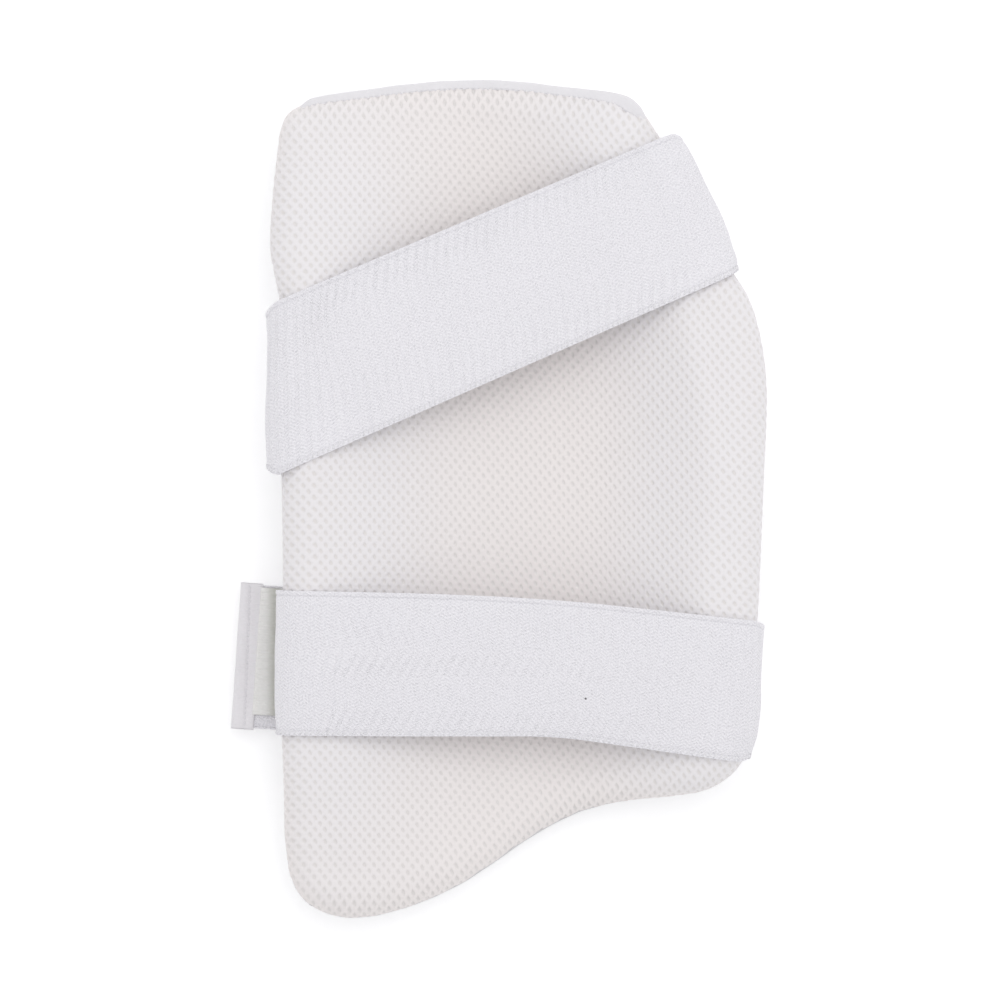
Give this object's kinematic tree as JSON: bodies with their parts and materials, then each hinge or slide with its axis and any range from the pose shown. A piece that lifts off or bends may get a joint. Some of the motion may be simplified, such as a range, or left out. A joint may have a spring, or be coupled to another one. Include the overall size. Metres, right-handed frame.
{
  "type": "cricket thigh guard",
  "caption": "Padded thigh guard with a moulded hollow, air-mesh lining and wide elastic straps looped round it, lying on its outer face.",
  "frame": {"origin": "middle of the guard's box, on the floor that it lies on", "axes": "+X across the pad towards the raised right side, +Y up the thigh towards the hemmed top edge, +Z out of the hollow towards the thigh"},
  "size_m": [0.2436, 0.3812, 0.0555],
  "materials": {
    "foam": "matt cream foam, hidden between the skins",
    "air_mesh": "white air mesh with staggered small holes, matt",
    "cover_cloth": "smooth white cover cloth with a faint sheen",
    "elastic": "white brushed knitted elastic, matt",
    "hook_tape": "grey-white hook tape, satin",
    "binding_tape": "white woven tape, folded and stitched"
  },
  "bodies": {
    "root": {"foam_pad": "foam", "mesh_lining": "air_mesh", "outer_cover": "cover_cloth", "top_hem": "cover_cloth", "upper_strap": "elastic", "lower_strap": "elastic", "upper_hook_tape": "hook_tape", "lower_hook_tape": "hook_tape", "tail_binding": "binding_tape"}
  },
  "joints": []
}
